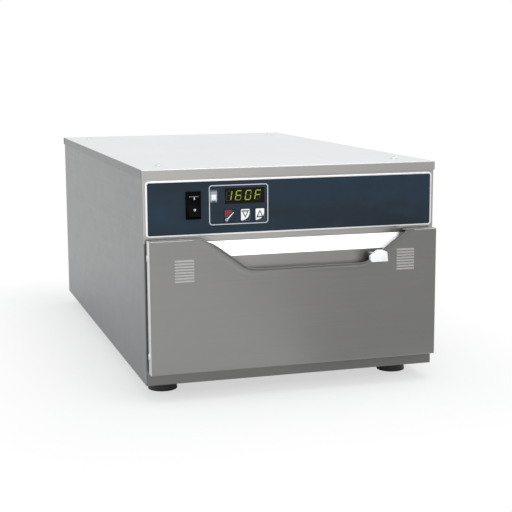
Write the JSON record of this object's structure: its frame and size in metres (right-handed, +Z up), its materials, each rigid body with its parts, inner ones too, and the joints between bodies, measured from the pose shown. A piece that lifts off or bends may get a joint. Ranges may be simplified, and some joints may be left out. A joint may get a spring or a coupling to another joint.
{
  "type": "warming drawer",
  "caption": "Free-standing countertop warming drawer with a food pan drawer on telescopic slides, a vent slide, a rocker switch and a keyed temperature controller.",
  "frame": {"origin": "middle of the footprint, on the surface that the feet stand on", "axes": "+Z up, the drawer opens towards -Y, +X is to the right seen from the front"},
  "size_m": [0.416, 0.7616, 0.312],
  "materials": {
    "stainless_sheet": "fine horizontal brushed grain",
    "polished_trim": "polished bezel",
    "cavity_steel": "smooth stainless",
    "screw_steel": "plain stainless screws",
    "rail_steel": "zinc-plated slide steel",
    "foot_rubber": "matt black rubber",
    "panel_blue": "dark blue polyester overlay",
    "controller_silver": "light grey line",
    "display_dark": "dark tinted window",
    "indicator_smoke": "clear lens over a white lamp",
    "switch_black": "moulded black plastic",
    "key_white": "white membrane key",
    "knob_white": "white moulded plastic",
    "board_green": "circuit board",
    "transformer_steel": "varnished laminations",
    "insulation_wool": "mineral wool",
    "cable_sheath": "silicone-sheathed heating cable"
  },
  "bodies": {
    "cabinet": {"top_cover": "stainless_sheet", "base_pan": "stainless_sheet", "side_panel_right": "stainless_sheet", "side_panel_left": "stainless_sheet", "front_fascia": "stainless_sheet", "back_panel": "stainless_sheet", "top_cover_screws": "screw_steel", "back_panel_screws": "screw_steel", "rubber_feet": "foot_rubber", "foot_bolts": "screw_steel", "panel_trim": "polished_trim", "control_overlay": "panel_blue", "controller_frame": "controller_silver", "controller_housing": "switch_black", "display_window": "display_dark", "indicator_lens": "indicator_smoke", "rocker_housing": "switch_black", "rocker_pin": "screw_steel", "component_tray": "cavity_steel", "board_standoffs": "switch_black", "control_board": "board_green", "transformer": "transformer_steel", "power_relay": "switch_black", "terminal_block": "switch_black", "high_limit_thermostat": "screw_steel", "temperature_probe": "screw_steel", "cord_gland": "switch_black", "gland_nut": "switch_black", "cavity_liner": "cavity_steel", "heating_cable": "cable_sheath", "floor_insulation": "insulation_wool", "side_insulation": "insulation_wool", "top_insulation": "insulation_wool", "back_insulation": "insulation_wool", "outer_rail_right": "rail_steel", "outer_rail_left": "rail_steel", "cabinet_rail_screws": "screw_steel"},
    "drawer": {"drawer_face": "stainless_sheet", "door_side_screws": "screw_steel", "drawer_inner_panel": "stainless_sheet", "pull_trough": "stainless_sheet", "door_insulation": "insulation_wool", "door_bumpers": "foot_rubber", "vent_guides": "stainless_sheet", "drawer_frame": "cavity_steel", "drawer_frame_screws": "screw_steel", "drawer_rail_screws": "screw_steel", "inner_rail_right": "rail_steel", "inner_rail_left": "rail_steel", "food_pan": "cavity_steel"},
    "middle_rails": {"middle_rail_right": "rail_steel", "middle_rail_left": "rail_steel"},
    "outer_ball_cages": {"ball_cages_outer": "rail_steel"},
    "inner_ball_cages": {"ball_cages_inner": "rail_steel"},
    "vent_slide": {"vent_slide": "stainless_sheet", "vent_knob": "knob_white"},
    "rocker_paddle": {"rocker_paddle": "switch_black"},
    "key_set": {"key_set": "key_white"},
    "key_down": {"key_down": "key_white"},
    "key_up": {"key_up": "key_white"}
  },
  "joints": [
    {"name": "drawer_slide", "type": "slide", "parent": "cabinet", "child": "drawer", "axis": [0, -1, 0], "range_m": [0, 0.53]},
    {"name": "middle_rail_slide", "type": "slide", "parent": "cabinet", "child": "middle_rails", "axis": [0, -1, 0], "range_m": [0, 0.265]},
    {"name": "outer_cage_slide", "type": "slide", "parent": "cabinet", "child": "outer_ball_cages", "axis": [0, -1, 0], "range_m": [0, 0.1325]},
    {"name": "inner_cage_slide", "type": "slide", "parent": "cabinet", "child": "inner_ball_cages", "axis": [0, -1, 0], "range_m": [0, 0.3975]},
    {"name": "vent_slide", "type": "slide", "parent": "drawer", "child": "vent_slide", "axis": [-1, 0, 0], "range_m": [0, 0.026]},
    {"name": "rocker_tilt", "type": "hinge", "parent": "cabinet", "child": "rocker_paddle", "pos_m": [-0.1395, -0.34425, 0.2613], "axis": [1, 0, 0], "range_deg": [0, 18]},
    {"name": "key_set_press", "type": "slide", "parent": "cabinet", "child": "key_set", "axis": [0, 1, 0], "range_m": [0, 0.0007], "stiffness_N_per_m": 800},
    {"name": "key_down_press", "type": "slide", "parent": "cabinet", "child": "key_down", "axis": [0, 1, 0], "range_m": [0, 0.0007], "stiffness_N_per_m": 800},
    {"name": "key_up_press", "type": "slide", "parent": "cabinet", "child": "key_up", "axis": [0, 1, 0], "range_m": [0, 0.0007], "stiffness_N_per_m": 800}
  ],
  "couplings": [
    {"joint": "middle_rail_slide", "follows": "drawer_slide", "ratio": 0.5},
    {"joint": "outer_cage_slide", "follows": "drawer_slide", "ratio": 0.25},
    {"joint": "inner_cage_slide", "follows": "drawer_slide", "ratio": 0.75}
  ]
}
